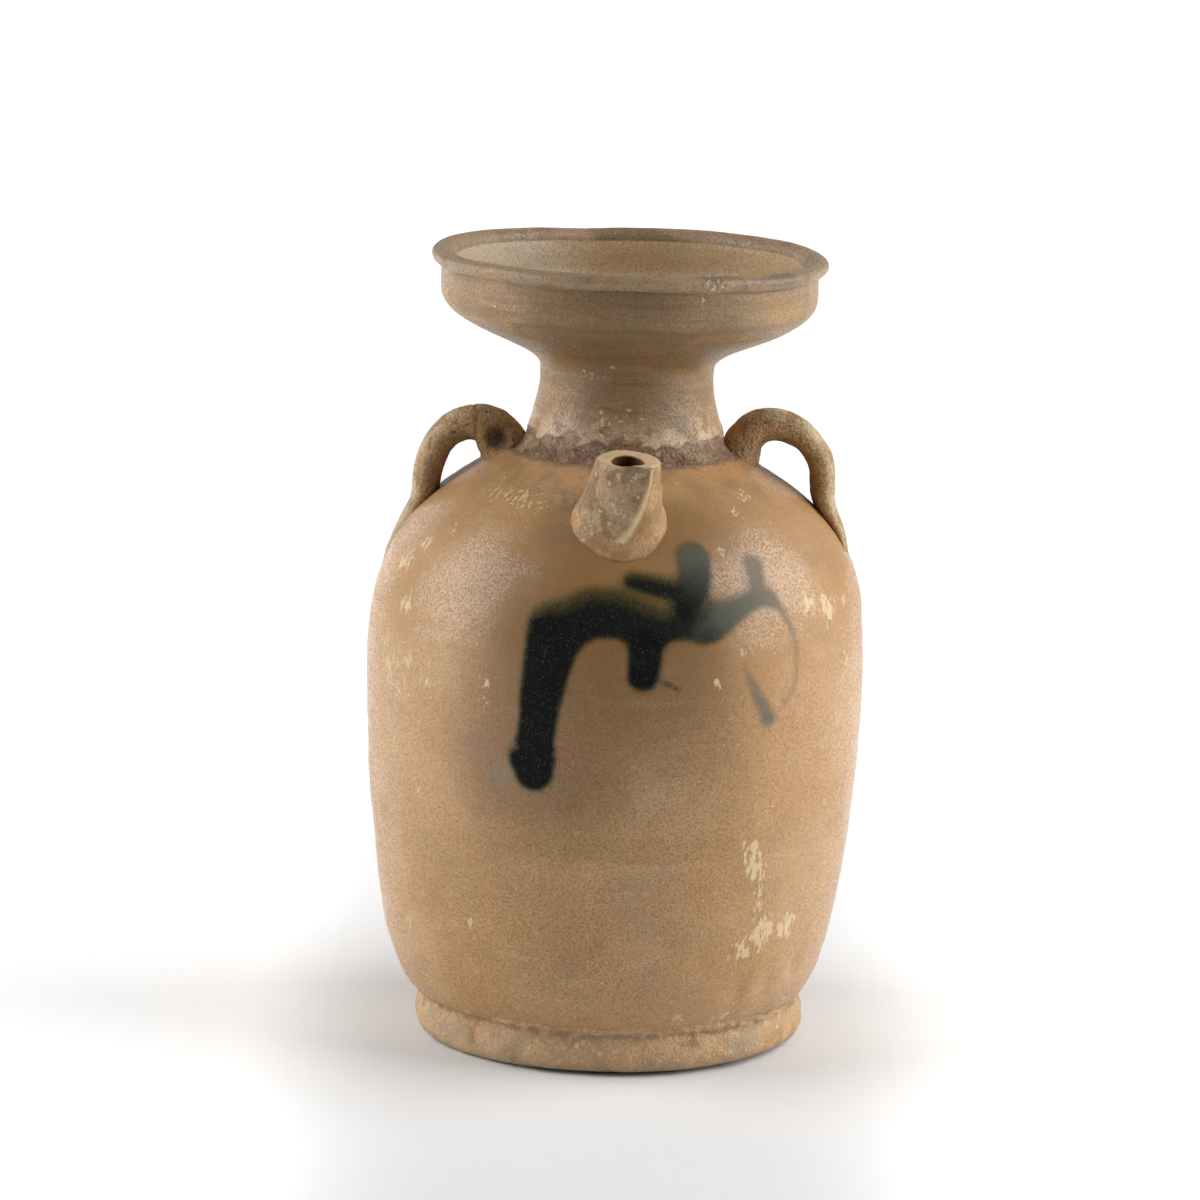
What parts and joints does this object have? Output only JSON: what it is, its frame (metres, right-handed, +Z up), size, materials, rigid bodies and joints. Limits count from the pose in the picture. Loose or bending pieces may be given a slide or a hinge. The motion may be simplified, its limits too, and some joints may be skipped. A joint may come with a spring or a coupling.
{
  "type": "stoneware ewer",
  "caption": "Stoneware ewer with a dish mouth, short waisted neck, rounded shoulder, stub spout, cord lugs and a rear strap handle, standing on a flat disc foot.",
  "frame": {"origin": "centre of the plane that the foot disc stands on", "axes": "+Z up along the pot's axis, the spout towards -Y, the strap handle towards +Y, the cord lugs along +X and -X"},
  "size_m": [0.138, 0.138, 0.2205],
  "materials": {
    "glaze": "worn, semi-matt tan glaze with a dark splash",
    "bare_clay": "rough unglazed stoneware"
  },
  "bodies": {
    "root": {"foot_disc": "bare_clay", "lower_body": "glaze", "upper_body": "glaze", "neck_luting_coil": "bare_clay", "neck": "glaze", "dish_mouth": "glaze", "spout": "glaze", "spout_luting_coil": "glaze", "left_lug": "glaze", "right_lug": "glaze", "rear_handle": "glaze"}
  },
  "joints": []
}
